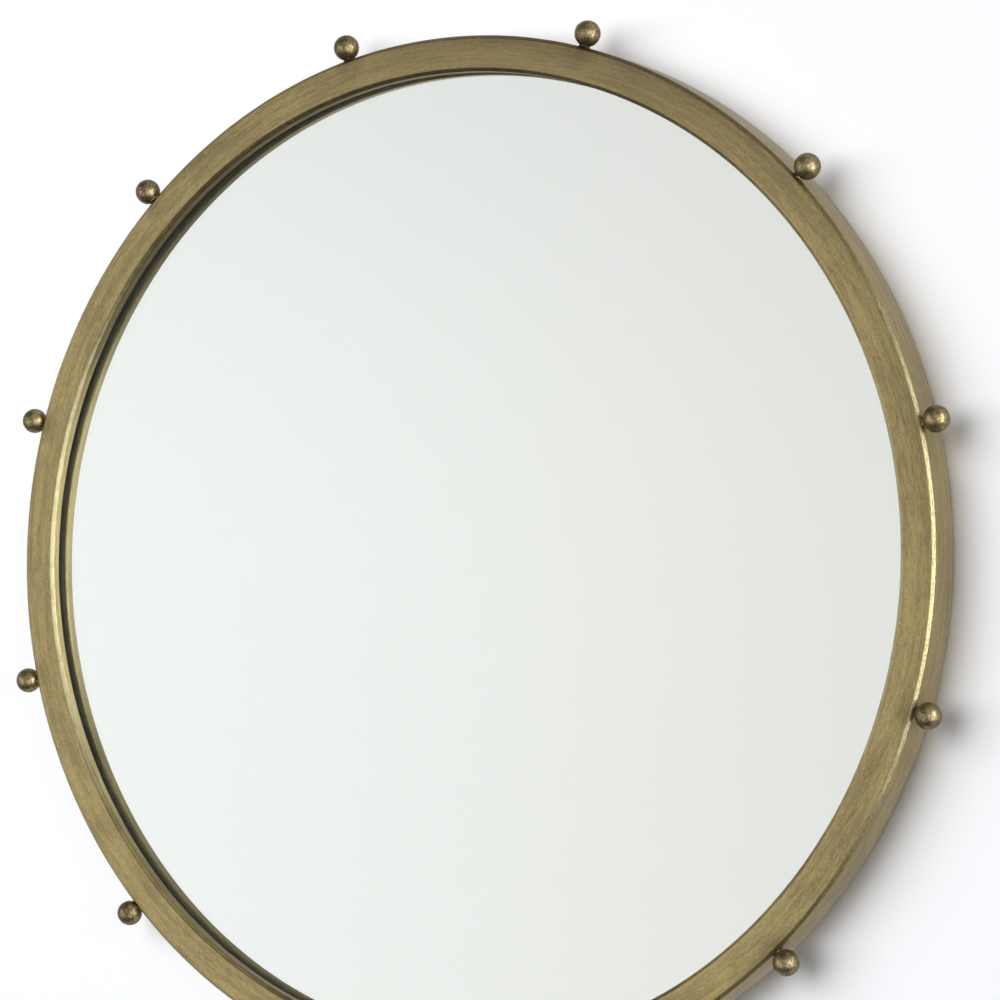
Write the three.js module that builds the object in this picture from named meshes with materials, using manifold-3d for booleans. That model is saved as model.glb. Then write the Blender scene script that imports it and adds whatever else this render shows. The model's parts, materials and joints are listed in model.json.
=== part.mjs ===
// Round wall mirror: a rolled metal channel ring with twelve ball finials welded round its
// outside, a flat silvered pane set back behind the front lip, and a fibreboard back held by
// welded tabs. It hangs on two D rings. Millimetres, +Z up, the mirror faces -Y. The origin is
// the centre of the ring on the wall plane, where the rubber feet touch.
import * as THREE from 'three';
import * as BufferGeometryUtils from 'three/addons/utils/BufferGeometryUtils.js';
import Module from 'manifold-3d';

const wasm = await Module();
wasm.setup();

// Channel ring
const FRAME_RADIUS = 363;      // outside of the ring, without the balls
const FACE_WIDTH = 25;         // flat front face, measured across
const FRAME_DEPTH = 31;        // front face to rear rim
const SHEET = 2;               // wall of the channel
const FRONT_EDGE_ROUND = 2.2;  // outside radius of both front edges
const LIP_DEPTH = 9.5;         // front face to the back of the ledge that the pane bears on
const LIP_END_ROUND = 1;       // edge where the lip turns into the ledge
const LEDGE_WIDTH = 9;         // ledge, measured out from the lip's visible face
const RING_STEPS = 96;
const ROUND_STEPS = 3;
const SHORT_ARC_STEPS = 4;

// Ball finials
const BALL_COUNT = 12;
const BALL_RADIUS = 9;
const BALL_SETBACK = 4;        // ball centre behind the front face
const WELD_RADIUS = 3.2;       // foot that the ball is welded on
const WELD_HEIGHT = 0.1;       // foot under the ball
const BALL_STEPS = 12;
const BALL_RINGS = 8;

// Pane, tape and back
const TAPE_THICKNESS = 0.5;
const TAPE_WIDTH = 6;
const TAPE_INSET = 1.5;        // tape edge, measured out from the lip's visible face
const GLASS_THICKNESS = 5;
const GLASS_ARRIS = 0.8;       // ground edge of the pane
const PANE_CLEARANCE = 3;      // pane and board to the inside of the band
const BOARD_THICKNESS = 5;
const BLOCK_ANGLES = [250, 290];
const BLOCK_SPREAD = 4;        // degrees of the ring that a setting block covers

// Welded tabs that hold the board
const TAB_COUNT = 6;
const TAB_FIRST = 30;          // angle of the first tab, clear of the hangers
const TAB_WIDTH = 20;
const TAB_SHEET = 2;
const TAB_REACH = 20;          // from the band towards the centre
const TAB_FOOT = 7;            // foot along the band, beyond the tab's plate
const TAB_HOLE_IN = 12;        // hole centre, in from the band

// Hangers
const HANGER_X = 180;          // each hanger's distance from the middle line
const BRACKET_WIDTH = 26;
const BRACKET_SHEET = 2.5;
const EYE_DROP = 100;          // strap eyes below the top of the ring
const STRAP_WIDTH = 14;
const STRAP_SHEET = 1.2;
const STRAP_LENGTH = 46;       // eye centre to the straight part's end
const STRAP_HOLES = [29, 42];  // below the eye centre
const STRAP_MARGIN = 7;        // bracket left below the strap
const RING_WIRE_RADIUS = 1.5;
const RING_HALF_WIDTH = 12;    // to the wire's centre line
const RING_REACH = 20;         // eye centre to the wire's centre line at the top of the ring
const RING_BEND = 3;           // radius of the two bends beside the bar
const RING_SPLIT = 0.8;        // gap where the two ends of the wire meet
const WIRE_SIDES = 4;
const WIRE_STEPS = 36;
const EYE_CLEARANCE = 0.35;
const EYE_STEPS = 18;

// Rubber feet
const FOOT_ANGLES = [20, 160, 240, 300];
const FOOT_INSET = 48;         // foot centre, in from the outside of the ring
const FOOT_BASE_RADIUS = 9;
const FOOT_TOP_RADIUS = 7.5;
const FOOT_SOCKET_RADIUS = 4.4;
const FOOT_SOCKET_FLOOR = 4;   // rubber left under the screw head
const FOOT_EDGE = 0.8;         // bevel of the flat end
const FOOT_STEPS = 20;
const FOOT_PROUD = 1;          // feet beyond the rear rim

// Screws
const BOARD_SCREW = { shank: 1.6, head: 3.6, height: 2.2, bite: 3.6 };
const HANGER_SCREW = { shank: 2, head: 4, height: 2.2 };
const SCREW_STEPS = 10;
const HOLE_STEPS = 12;

const GAP = 0.3;               // between a piece and what it rests on
const PAST = 1;                // how far a drill runs past the faces that it cuts

// Places worked out from the sizes above
const FRONT_Y = -(FRAME_DEPTH + FOOT_PROUD);
const RIM_Y = -FOOT_PROUD;
const OPENING_RADIUS = FRAME_RADIUS - FACE_WIDTH;
const BAND_INSIDE = FRAME_RADIUS - SHEET;
const FACET = Math.cos(Math.PI / RING_STEPS);
const BAND_CLEAR = BAND_INSIDE * FACET - GAP;
const PANE_RADIUS = BAND_INSIDE - PANE_CLEARANCE;
const LEDGE_Y = FRONT_Y + LIP_DEPTH;
const TAPE_Y = LEDGE_Y + GAP;
const GLASS_Y = TAPE_Y + TAPE_THICKNESS + GAP;
const BOARD_Y = GLASS_Y + GLASS_THICKNESS + GAP;
const BACK_Y = BOARD_Y + BOARD_THICKNESS;
const TAB_Y = BACK_Y + GAP;
const STRAP_Y = TAB_Y + BRACKET_SHEET + GAP;
const EYE_BORE = RING_WIRE_RADIUS + EYE_CLEARANCE;
const EYE_RADIUS = EYE_BORE + STRAP_SHEET;
const EYE_Y = STRAP_Y + EYE_RADIUS;
const EYE_Z = FRAME_RADIUS - EYE_DROP;
const BRACKET_BOTTOM = EYE_Z - STRAP_LENGTH - STRAP_MARGIN;
const FOOT_CIRCLE = FRAME_RADIUS - FOOT_INSET;

const degrees = (angle) => THREE.MathUtils.degToRad(angle);

// ---------------------------------------------------------------- finishes
function finish(color, roughness, metalness) {
  return new THREE.MeshStandardMaterial({ color, roughness, metalness });
}

const antiqueBrass = finish(0x96875c, 0.45, 1);
const agedBrass = finish(0x6f6148, 0.4, 1);
const weldedSteel = finish(0x5d5036, 0.6, 1);
const silvered = finish(0xe9ece8, 0.03, 1);
const foam = finish(0x2b2a28, 0.95, 0);
const fibreboard = finish(0x8d6e4c, 0.9, 0);
const zincPlate = finish(0xb9b8b2, 0.35, 1);
const rubber = finish(0x1c1c1c, 0.85, 0);

// ---------------------------------------------------------------- solids
function toSolid(geometry) {
  const bare = geometry.clone();
  bare.deleteAttribute('normal');
  bare.deleteAttribute('uv');
  const merged = BufferGeometryUtils.mergeVertices(bare, 1e-4);
  return new wasm.Manifold(new wasm.Mesh({
    numProp: 3,
    vertProperties: new Float32Array(merged.attributes.position.array),
    triVerts: new Uint32Array(merged.index.array),
  }));
}

function toGeometry(solid) {
  const mesh = solid.getMesh();
  const geometry = new THREE.BufferGeometry();
  geometry.setAttribute('position', new THREE.BufferAttribute(mesh.vertProperties, 3));
  geometry.setIndex(new THREE.BufferAttribute(mesh.triVerts, 1));
  geometry.computeVertexNormals();
  return geometry;
}

function cut(geometry, cutters) {
  let solid = toSolid(geometry);
  for (const cutter of cutters) solid = solid.subtract(toSolid(cutter));
  return toGeometry(solid);
}

// A turned shape: the outline's points are (radius, y), and it turns about the Y axis.
function turned(points, steps) {
  return new THREE.LatheGeometry(points.map(([radius, y]) => new THREE.Vector2(radius, y)), steps);
}

// A flat plate that lies across the depth: the shape's x and y become X and Z.
function plateAcross(shape, y, thickness, curveSegments = HOLE_STEPS) {
  const geometry = new THREE.ExtrudeGeometry(shape, {
    depth: thickness, bevelEnabled: false, curveSegments,
  });
  geometry.rotateX(Math.PI / 2);
  geometry.translate(0, y + thickness, 0);
  return geometry;
}

// A drill along the depth, at x and z, long enough to pass both faces of what it cuts.
function drill(radius, x, z, yFrom, yTo) {
  const length = yTo - yFrom;
  const geometry = new THREE.CylinderGeometry(radius, radius, length, HOLE_STEPS);
  geometry.translate(x, yFrom + length / 2, z);
  return geometry;
}

// The points of a quarter round, from one angle to the other, about its centre.
function quarter(centreRadius, centreY, radius, fromAngle, toAngle, steps) {
  const points = [];
  for (let i = 0; i <= steps; i += 1) {
    const angle = degrees(fromAngle + (toAngle - fromAngle) * i / steps);
    points.push([centreRadius + radius * Math.cos(angle), centreY + radius * Math.sin(angle)]);
  }
  return points;
}

const mirror = new THREE.Group();

function place(name, geometry, material, parent = mirror) {
  const mesh = new THREE.Mesh(geometry, material);
  mesh.name = name;
  parent.add(mesh);
  return mesh;
}

// A group turned about the depth axis, so that its +X points out at this angle.
function spoke(angle) {
  const group = new THREE.Group();
  group.rotation.y = -degrees(angle);
  mirror.add(group);
  return group;
}

const numbered = (name, index) => `${name}_${String(index + 1).padStart(2, '0')}`;

// ---------------------------------------------------------------- channel ring
// Band, front face, lip and ledge are one rolled sheet, open at the back.
function channelRing() {
  const round = FRONT_EDGE_ROUND;
  const outline = [
    [FRAME_RADIUS, RIM_Y],
    [BAND_INSIDE, RIM_Y],
    [BAND_INSIDE, FRONT_Y + SHEET],
    [OPENING_RADIUS + SHEET, FRONT_Y + SHEET],
    [OPENING_RADIUS + SHEET, LEDGE_Y - SHEET],
    [OPENING_RADIUS + LEDGE_WIDTH, LEDGE_Y - SHEET],
    [OPENING_RADIUS + LEDGE_WIDTH, LEDGE_Y],
    ...quarter(OPENING_RADIUS + LIP_END_ROUND, LEDGE_Y - LIP_END_ROUND, LIP_END_ROUND, 90, 180, 2),
    ...quarter(OPENING_RADIUS + round, FRONT_Y + round, round, 180, 270, ROUND_STEPS),
    ...quarter(FRAME_RADIUS - round, FRONT_Y + round, round, 270, 360, ROUND_STEPS),
    [FRAME_RADIUS, RIM_Y],
  ];
  return turned(outline, RING_STEPS);
}

// ---------------------------------------------------------------- ball finials
// The outline starts on the weld foot and follows the ball to its far pole.
function ballFinial() {
  const centre = WELD_HEIGHT + BALL_RADIUS;
  const start = Math.asin(WELD_RADIUS / BALL_RADIUS);
  const outline = [[0, 0], [WELD_RADIUS, 0]];
  for (let i = 0; i < BALL_RINGS; i += 1) {
    const angle = start + (Math.PI - start) * i / BALL_RINGS;
    outline.push([BALL_RADIUS * Math.sin(angle), centre - BALL_RADIUS * Math.cos(angle)]);
  }
  outline.push([0, centre + BALL_RADIUS]);
  const geometry = turned(outline, BALL_STEPS);
  geometry.rotateZ(-Math.PI / 2);
  return geometry;
}

function ballFinials() {
  const step = 360 / BALL_COUNT;
  const geometry = ballFinial();
  for (let i = 0; i < BALL_COUNT; i += 1) {
    const ball = place(numbered('ball_finial', i), geometry, agedBrass, spoke(90 - step * (i + 0.5)));
    ball.position.set(FRAME_RADIUS + GAP, FRONT_Y + BALL_SETBACK, 0);
  }
}

// ---------------------------------------------------------------- tape, pane and board
function glazingTape() {
  const inside = OPENING_RADIUS + TAPE_INSET;
  const outline = [
    [inside, TAPE_Y],
    [inside + TAPE_WIDTH, TAPE_Y],
    [inside + TAPE_WIDTH, TAPE_Y + TAPE_THICKNESS],
    [inside, TAPE_Y + TAPE_THICKNESS],
    [inside, TAPE_Y],
  ];
  return turned(outline, RING_STEPS);
}

function mirrorPane() {
  const back = GLASS_Y + GLASS_THICKNESS;
  const outline = [
    [0, GLASS_Y],
    [PANE_RADIUS - GLASS_ARRIS, GLASS_Y],
    [PANE_RADIUS, GLASS_Y + GLASS_ARRIS],
    [PANE_RADIUS, back - GLASS_ARRIS],
    [PANE_RADIUS - GLASS_ARRIS, back],
    [0, back],
  ];
  return turned(outline, RING_STEPS);
}

const tabAngles = Array.from({ length: TAB_COUNT }, (_, i) => TAB_FIRST + 360 * i / TAB_COUNT);

function onCircle(radius, angle) {
  return [radius * Math.cos(degrees(angle)), radius * Math.sin(degrees(angle))];
}

function backingBoard() {
  const outline = [[0, BOARD_Y], [PANE_RADIUS, BOARD_Y], [PANE_RADIUS, BACK_Y], [0, BACK_Y]];
  const disc = turned(outline, RING_STEPS);
  const pilot = BOARD_SCREW.shank + GAP;
  const places = [
    ...tabAngles.map((angle) => onCircle(BAND_CLEAR - TAB_HOLE_IN, angle)),
    ...FOOT_ANGLES.map((angle) => onCircle(FOOT_CIRCLE, angle)),
  ];
  const depth = BOARD_SCREW.bite + GAP;
  return cut(disc, places.map(([x, z]) => drill(pilot, x, z, BACK_Y - depth, BACK_Y + PAST)));
}

// A rubber block between the pane's lower edge and the band, which the pane's weight rests on.
function settingBlock(angle) {
  const inner = PANE_RADIUS + GAP;
  const from = degrees(angle - BLOCK_SPREAD / 2);
  const to = degrees(angle + BLOCK_SPREAD / 2);
  const shape = new THREE.Shape();
  shape.absarc(0, 0, BAND_CLEAR, from, to, false);
  shape.absarc(0, 0, inner, to, from, true);
  shape.closePath();
  return plateAcross(shape, GLASS_Y, GLASS_THICKNESS, SHORT_ARC_STEPS);
}

// ---------------------------------------------------------------- screws
// A pan-head screw along Y, head towards +Y, with the underside of its head at y = 0.
function panScrew({ shank, head, height }, length) {
  const outline = [
    [0, -length],
    [shank * 0.6, -length],
    [shank, -length + shank * 0.4],
    [shank, 0],
    [head, 0],
    [head, height * 0.45],
    [head * 0.7, height * 0.9],
    [0, height],
  ];
  return turned(outline, SCREW_STEPS);
}

// ---------------------------------------------------------------- tabs
// An angle piece: its foot is welded to the inside of the band, its plate presses the board.
// The foot's flat face stands back so that its two corners clear the curved band.
function boardTab() {
  const out = Math.sqrt(BAND_CLEAR ** 2 - (TAB_WIDTH / 2) ** 2);
  const shape = new THREE.Shape([
    [out - TAB_REACH, TAB_Y],
    [out, TAB_Y],
    [out, TAB_Y + TAB_SHEET + TAB_FOOT],
    [out - TAB_SHEET, TAB_Y + TAB_SHEET + TAB_FOOT],
    [out - TAB_SHEET, TAB_Y + TAB_SHEET],
    [out - TAB_REACH, TAB_Y + TAB_SHEET],
  ].map(([x, y]) => new THREE.Vector2(x, y)));
  const geometry = new THREE.ExtrudeGeometry(shape, { depth: TAB_WIDTH, bevelEnabled: false });
  geometry.translate(0, 0, -TAB_WIDTH / 2);
  const bore = BOARD_SCREW.shank + GAP;
  const holeAt = BAND_CLEAR - TAB_HOLE_IN;
  return cut(geometry, [drill(bore, holeAt, 0, TAB_Y - PAST, TAB_Y + TAB_SHEET + PAST)]);
}

function boardTabs() {
  const tab = boardTab();
  const screw = panScrew(BOARD_SCREW, GAP + TAB_SHEET + GAP + BOARD_SCREW.bite);
  tabAngles.forEach((angle, i) => {
    const group = spoke(angle);
    place(numbered('board_tab', i), tab, weldedSteel, group);
    const fastener = place(numbered('tab_screw', i), screw, zincPlate, group);
    fastener.position.set(BAND_CLEAR - TAB_HOLE_IN, TAB_Y + TAB_SHEET + GAP, 0);
  });
}

// ---------------------------------------------------------------- hangers
// A strip that lies behind the board and turns up into a foot welded to the band.
function hangerBracket(side) {
  const xIn = HANGER_X - BRACKET_WIDTH / 2;
  const xOut = HANGER_X + BRACKET_WIDTH / 2;
  const low = Math.acos(xOut / BAND_CLEAR);
  const high = Math.acos(xIn / BAND_CLEAR);
  const strip = new THREE.Shape();
  strip.moveTo(xIn, BRACKET_BOTTOM);
  strip.lineTo(xOut, BRACKET_BOTTOM);
  strip.absarc(0, 0, BAND_CLEAR, low, high, false);
  strip.closePath();
  const foot = new THREE.Shape();
  foot.absarc(0, 0, BAND_CLEAR, low, high, false);
  foot.absarc(0, 0, BAND_CLEAR - BRACKET_SHEET, high, low, true);
  foot.closePath();
  const plate = toSolid(plateAcross(strip, TAB_Y, BRACKET_SHEET, SHORT_ARC_STEPS));
  const weldFoot = toSolid(plateAcross(foot, TAB_Y, TAB_SHEET + TAB_FOOT, SHORT_ARC_STEPS));
  const bore = HANGER_SCREW.shank + GAP;
  const holes = STRAP_HOLES.map((below) => drill(
    bore, HANGER_X, EYE_Z - below, TAB_Y - PAST, TAB_Y + BRACKET_SHEET + PAST,
  ));
  const geometry = cut(toGeometry(plate.add(weldFoot)), holes);
  return side > 0 ? geometry : mirrored(geometry);
}

// The same piece for the other side: x changes sign, and each triangle turns round.
function mirrored(geometry) {
  const copy = geometry.clone();
  copy.scale(-1, 1, 1);
  const index = copy.index.array;
  for (let i = 0; i < index.length; i += 3) {
    const first = index[i];
    index[i] = index[i + 1];
    index[i + 1] = first;
  }
  return copy;
}

// A strap with its upper end rolled into an eye. The eye's centre is at the origin.
function hangerStrap() {
  const half = STRAP_WIDTH / 2;
  const outline = new THREE.Shape();
  outline.moveTo(-half, 0);
  outline.lineTo(-half, -STRAP_LENGTH + half);
  outline.absarc(0, -STRAP_LENGTH + half, half, Math.PI, 2 * Math.PI, false);
  outline.lineTo(half, 0);
  outline.closePath();
  const plate = plateAcross(outline, -EYE_RADIUS, STRAP_SHEET, 6);
  const ring = new THREE.Shape();
  ring.absarc(0, 0, EYE_RADIUS, 0, 2 * Math.PI, false);
  const bore = new THREE.Path();
  bore.absarc(0, 0, EYE_BORE, 0, 2 * Math.PI, true);
  ring.holes.push(bore);
  const eye = new THREE.ExtrudeGeometry(ring, {
    depth: STRAP_WIDTH, bevelEnabled: false, curveSegments: EYE_STEPS / 2,
  });
  eye.rotateY(Math.PI / 2);
  eye.translate(-half, 0, 0);
  const under = -EYE_RADIUS;
  const drills = STRAP_HOLES.map((below) => drill(
    HANGER_SCREW.shank + GAP, 0, -below, under - PAST, under + STRAP_SHEET + PAST,
  ));
  const solid = toSolid(cut(plate, drills)).add(toSolid(eye));
  return toGeometry(solid.subtract(toSolid(eyeDrill())));
}

function eyeDrill() {
  const geometry = new THREE.CylinderGeometry(EYE_BORE, EYE_BORE, STRAP_WIDTH + 2 * PAST, EYE_STEPS);
  geometry.rotateZ(Math.PI / 2);
  return geometry;
}

// The D ring's wire, from its split in the middle of the bar, round the bow and back.
function ringWire() {
  const straight = RING_HALF_WIDTH - RING_BEND;
  const side = RING_REACH - RING_HALF_WIDTH;
  const half = [new THREE.Vector3(RING_SPLIT / 2, 0, 0), new THREE.Vector3(straight * 0.5, 0, 0)];
  for (let i = 0; i <= 4; i += 1) {
    const angle = degrees(-90 + 90 * i / 4);
    half.push(new THREE.Vector3(
      straight + RING_BEND * Math.cos(angle), 0, RING_BEND + RING_BEND * Math.sin(angle),
    ));
  }
  for (let i = 0; i < 6; i += 1) {
    const angle = degrees(90 * i / 6);
    half.push(new THREE.Vector3(
      RING_HALF_WIDTH * Math.cos(angle), 0, side + RING_HALF_WIDTH * Math.sin(angle),
    ));
  }
  const back = half.map((point) => new THREE.Vector3(-point.x, 0, point.z)).reverse();
  return new THREE.CatmullRomCurve3([...half, new THREE.Vector3(0, 0, RING_REACH), ...back]);
}

function dRing() {
  const section = new THREE.Shape();
  section.absarc(0, 0, RING_WIRE_RADIUS, 0, 2 * Math.PI, false);
  return new THREE.ExtrudeGeometry(section, {
    extrudePath: ringWire(), steps: WIRE_STEPS, bevelEnabled: false, curveSegments: WIRE_SIDES,
  });
}

// How far the ring leans in from upright when it lies back on its bracket.
function ringLean() {
  return Math.asin((EYE_Y - (STRAP_Y + RING_WIRE_RADIUS)) / RING_REACH);
}

function hangers() {
  const strap = hangerStrap();
  const ring = dRing();
  const screw = panScrew(HANGER_SCREW, GAP + STRAP_SHEET + GAP + BRACKET_SHEET);
  [['left', -1], ['right', 1]].forEach(([name, side]) => {
    place(`hanger_bracket_${name}`, hangerBracket(side), weldedSteel);
    const group = new THREE.Group();
    group.position.set(side * HANGER_X, EYE_Y, EYE_Z);
    mirror.add(group);
    place(`hanger_strap_${name}`, strap, zincPlate, group);
    const loop = place(`d_ring_${name}`, ring, zincPlate, group);
    loop.rotation.x = ringLean();
    STRAP_HOLES.forEach((below, i) => {
      const fastener = place(`hanger_screw_${name}_${i + 1}`, screw, zincPlate, group);
      fastener.position.set(0, -EYE_RADIUS + STRAP_SHEET + GAP, -below);
    });
  });
}

// ---------------------------------------------------------------- rubber feet
// Each foot has a socket for the head of its screw, and its flat end meets the wall at y = 0.
function rubberFoot() {
  const bore = BOARD_SCREW.shank + GAP;
  const floor = TAB_Y + FOOT_SOCKET_FLOOR;
  const outline = [
    [bore, TAB_Y],
    [FOOT_BASE_RADIUS, TAB_Y],
    [FOOT_TOP_RADIUS, -FOOT_EDGE],
    [FOOT_TOP_RADIUS - FOOT_EDGE, 0],
    [FOOT_SOCKET_RADIUS, 0],
    [FOOT_SOCKET_RADIUS, floor],
    [bore, floor],
    [bore, TAB_Y],
  ];
  return turned(outline, FOOT_STEPS);
}

function rubberFeet() {
  const foot = rubberFoot();
  const screw = panScrew(BOARD_SCREW, GAP + FOOT_SOCKET_FLOOR + GAP + BOARD_SCREW.bite);
  FOOT_ANGLES.forEach((angle, i) => {
    const [x, z] = onCircle(FOOT_CIRCLE, angle);
    place(numbered('rubber_foot', i), foot, rubber).position.set(x, 0, z);
    const fastener = place(numbered('foot_screw', i), screw, zincPlate);
    fastener.position.set(x, TAB_Y + FOOT_SOCKET_FLOOR + GAP, z);
  });
}

// ---------------------------------------------------------------- assembly
place('frame_channel', channelRing(), antiqueBrass);
ballFinials();
place('glazing_tape', glazingTape(), foam);
place('mirror_pane', mirrorPane(), silvered);
place('backing_board', backingBoard(), fibreboard);
BLOCK_ANGLES.forEach((angle, i) => place(numbered('setting_block', i), settingBlock(angle), rubber));
boardTabs();
hangers();
rubberFeet();

export default mirror;
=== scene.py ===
# %% [markdown]
# # A round wall mirror with twelve ball finials
#
# The real mirror is a steel channel rolled into a ring, welded shut, plated and rubbed to an antique
# brass. Twelve balls are welded round its outside. A flat pane sits behind the front lip on foam tape,
# and a fibreboard back is screwed to tabs behind it. It hangs on two D rings.
#
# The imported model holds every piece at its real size. This file keeps those sizes and gives each
# piece the shape and finish that the eye needs: filed corners, welds, brushed metal, glass with
# silver behind it. Lengths are in metres, the mirror faces -Y, and the wall is the plane y = 0.
# An angle on the ring is in degrees from +X, counterclockwise as seen from the front.

import json
import math

import bmesh
import bpy
from mathutils import Matrix, Vector, noise


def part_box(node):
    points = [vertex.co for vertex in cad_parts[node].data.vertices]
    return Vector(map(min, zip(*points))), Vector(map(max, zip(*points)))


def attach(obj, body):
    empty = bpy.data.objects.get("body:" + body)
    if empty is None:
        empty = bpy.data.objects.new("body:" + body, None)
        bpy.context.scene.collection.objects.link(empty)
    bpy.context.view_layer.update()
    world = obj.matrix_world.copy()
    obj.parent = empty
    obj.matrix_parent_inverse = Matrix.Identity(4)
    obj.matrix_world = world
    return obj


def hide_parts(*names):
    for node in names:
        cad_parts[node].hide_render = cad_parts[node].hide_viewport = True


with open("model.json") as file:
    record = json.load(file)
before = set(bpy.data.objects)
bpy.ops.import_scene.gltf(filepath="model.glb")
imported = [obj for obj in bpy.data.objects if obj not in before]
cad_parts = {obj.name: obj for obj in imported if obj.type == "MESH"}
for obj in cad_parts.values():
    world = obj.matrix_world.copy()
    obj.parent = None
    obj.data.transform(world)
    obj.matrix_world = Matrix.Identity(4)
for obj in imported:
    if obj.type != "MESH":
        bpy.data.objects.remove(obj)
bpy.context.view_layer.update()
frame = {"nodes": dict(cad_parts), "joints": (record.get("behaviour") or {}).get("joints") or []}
scene = bpy.context.scene

# %% [markdown]
# ## Sizes
#
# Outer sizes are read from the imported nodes, so that a piece made here lies exactly where the model
# says. What a box can't tell, such as how wide the flat face is, is written down as a real size.

# %% Sizes that every piece shares
MM = 0.001
ring_low, ring_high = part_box("frame_channel")
pane_low, pane_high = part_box("mirror_pane")
board_low, board_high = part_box("backing_board")
RING_RADIUS = ring_high.x
FRONT_Y = ring_low.y
RIM_Y = ring_high.y
FACE_WIDTH = 25 * MM
SHEET = 2 * MM
LIP_DEPTH = 9.5 * MM
LEDGE_WIDTH = 9 * MM
LIP_RADIUS = RING_RADIUS - FACE_WIDTH
LEDGE_Y = FRONT_Y + LIP_DEPTH
BALL_COUNT = 12
BALL_RADIUS = 9 * MM
ball_low, ball_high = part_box("ball_finial_03")
BALL_Y = (ball_low.y + ball_high.y) / 2
BALL_STANDS_OUT = 9.4 * MM
BALL_CIRCLE = RING_RADIUS + BALL_STANDS_OUT
BAND_INSIDE = RING_RADIUS - SHEET
print("ring radius %.1f mm, depth %.1f mm" % (RING_RADIUS / MM, (RIM_Y - FRONT_Y) / MM))

# %% [markdown]
# ## Camera
#
# The photograph was taken with a long lens from the right of the mirror and almost level with it: the
# far left of the ring shows its lip, and the near right shows its outer band. The camera was solved
# from the ring's two silhouettes, its inner circle and the ball centres. The lens axis lies below the
# middle of the picture, which a small upward shift repeats.

# %% Camera at the photograph's viewing angle
CAMERA_PLACE = Vector((1.2826, -2.2590, -0.0338))
CAMERA_TURN = 29.11
CAMERA_DOWN = 0.49
CAMERA_ROLL = 1.49
LENS = 133.13
SENSOR = 36
SHIFT_UP = 0.14
NEAREST_SEEN = 0.05


def turned(degrees, axis):
    return Matrix.Rotation(math.radians(degrees), 4, axis)


lens = bpy.data.cameras.new("camera")
lens.lens = LENS
lens.sensor_width = SENSOR
lens.shift_y = SHIFT_UP
lens.clip_start = NEAREST_SEEN
camera = bpy.data.objects.new("camera", lens)
scene.collection.objects.link(camera)
camera.matrix_world = (
    Matrix.Translation(CAMERA_PLACE)
    @ turned(CAMERA_TURN, "Z")
    @ turned(90 - CAMERA_DOWN, "X")
    @ turned(CAMERA_ROLL, "Z")
)
scene.camera = camera
print("camera %.2f m from the mirror's centre" % CAMERA_PLACE.length)

# %% [markdown]
# ## Shader arithmetic
#
# A finish is easier to read as a sum than as a web of nodes. `Link` wraps an output socket, and each
# operator on it adds one Math node. `Nodes.add` makes every other node: its settings are set first,
# because some of them change which sockets it has.

# %% A wrapped socket and a node maker
class Link:
    """An output socket that takes part in sums."""

    def __init__(self, nodes, socket):
        self.nodes = nodes
        self.socket = socket

    def math(self, operation, *values):
        return self.nodes.add("ShaderNodeMath", {"operation": operation}, dict(enumerate((self, *values))))

    def __add__(self, other):
        return self.math("ADD", other)

    def __sub__(self, other):
        return self.math("SUBTRACT", other)

    def __mul__(self, other):
        return self.math("MULTIPLY", other)

    def __truediv__(self, other):
        return self.math("DIVIDE", other)

    def __pow__(self, other):
        return self.math("POWER", other)

    def __rsub__(self, other):
        return self.nodes.add("ShaderNodeMath", {"operation": "SUBTRACT"}, {0: other, 1: self})

    __radd__ = __add__
    __rmul__ = __mul__


class Nodes:
    """The nodes of one material or of the world."""

    def __init__(self, tree):
        self.tree = tree
        tree.nodes.clear()

    def add(self, kind, settings=None, sockets=None, output=0):
        node = self.tree.nodes.new(kind)
        for name, value in (settings or {}).items():
            setattr(node, name, value)
        for name, value in (sockets or {}).items():
            if isinstance(value, Link):
                self.tree.links.new(value.socket, node.inputs[name])
            else:
                node.inputs[name].default_value = value
        return Link(self, node.outputs[output]) if node.outputs else node

    def vector(self, operation, *values, output=0):
        return self.add("ShaderNodeVectorMath", {"operation": operation}, dict(enumerate(values)), output)

    def part(self, vector, axis):
        """One coordinate of a vector."""
        return self.add("ShaderNodeSeparateXYZ", sockets={0: vector}, output=axis)

    def smooth(self, value, low, high):
        """0 below low, 1 above high, and a smooth step between."""
        return self.add(
            "ShaderNodeMapRange", {"interpolation_type": "SMOOTHSTEP"},
            {"Value": value, "From Min": low, "From Max": high},
        )

    def blend(self, factor, first, second):
        """A colour between two others."""
        return self.add("ShaderNodeMix", {"data_type": "RGBA"}, {0: factor, 6: first, 7: second}, 2)

    def grain(self, place, size, detail=2, rough=0.5, bend=0):
        """Noise whose lumps are about this size, in the units of the place."""
        return self.add(
            "ShaderNodeTexNoise", {"noise_dimensions": "3D"},
            {"Vector": place, "Scale": 1 / size, "Detail": detail, "Roughness": rough, "Distortion": bend},
        )

    def relief(self, height, strength, depth):
        """A bump of this depth, in metres, for Normal."""
        return self.add("ShaderNodeBump", sockets={"Strength": strength, "Distance": depth, "Height": height})


# %% [markdown]
# ## Wall, light and what the mirror sees
#
# The photograph is a studio shot on a white wall. Metal shows the room as much as the lamps, so the
# room matters. It could be modelled as screens and walls, but those would also throw light and
# shadow. So the world is painted by direction, and only metal and glass see the paint. A matt surface
# gets a faint bluish light from it, and the camera sees white.
#
# It has soft-edged patches: a pale screen in front to the left, where the ring's face looks, and a
# brighter window to the right, whose light lies on the lip and on the filed corners, with a paler
# ceiling above it. Elsewhere the room is dull at eye level and dark overhead and underfoot.
#
# What comes out of the glass meets an almost even white, because that is what the pane shows in the
# photograph. It is a little darker to the right and to the top, and dark only towards the floor, where
# the photograph doesn't look. Light that left the glass by way of the lip has met metal twice. It
# finds a window of its own there, because the reflection of the lip shines in the photograph.

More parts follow.
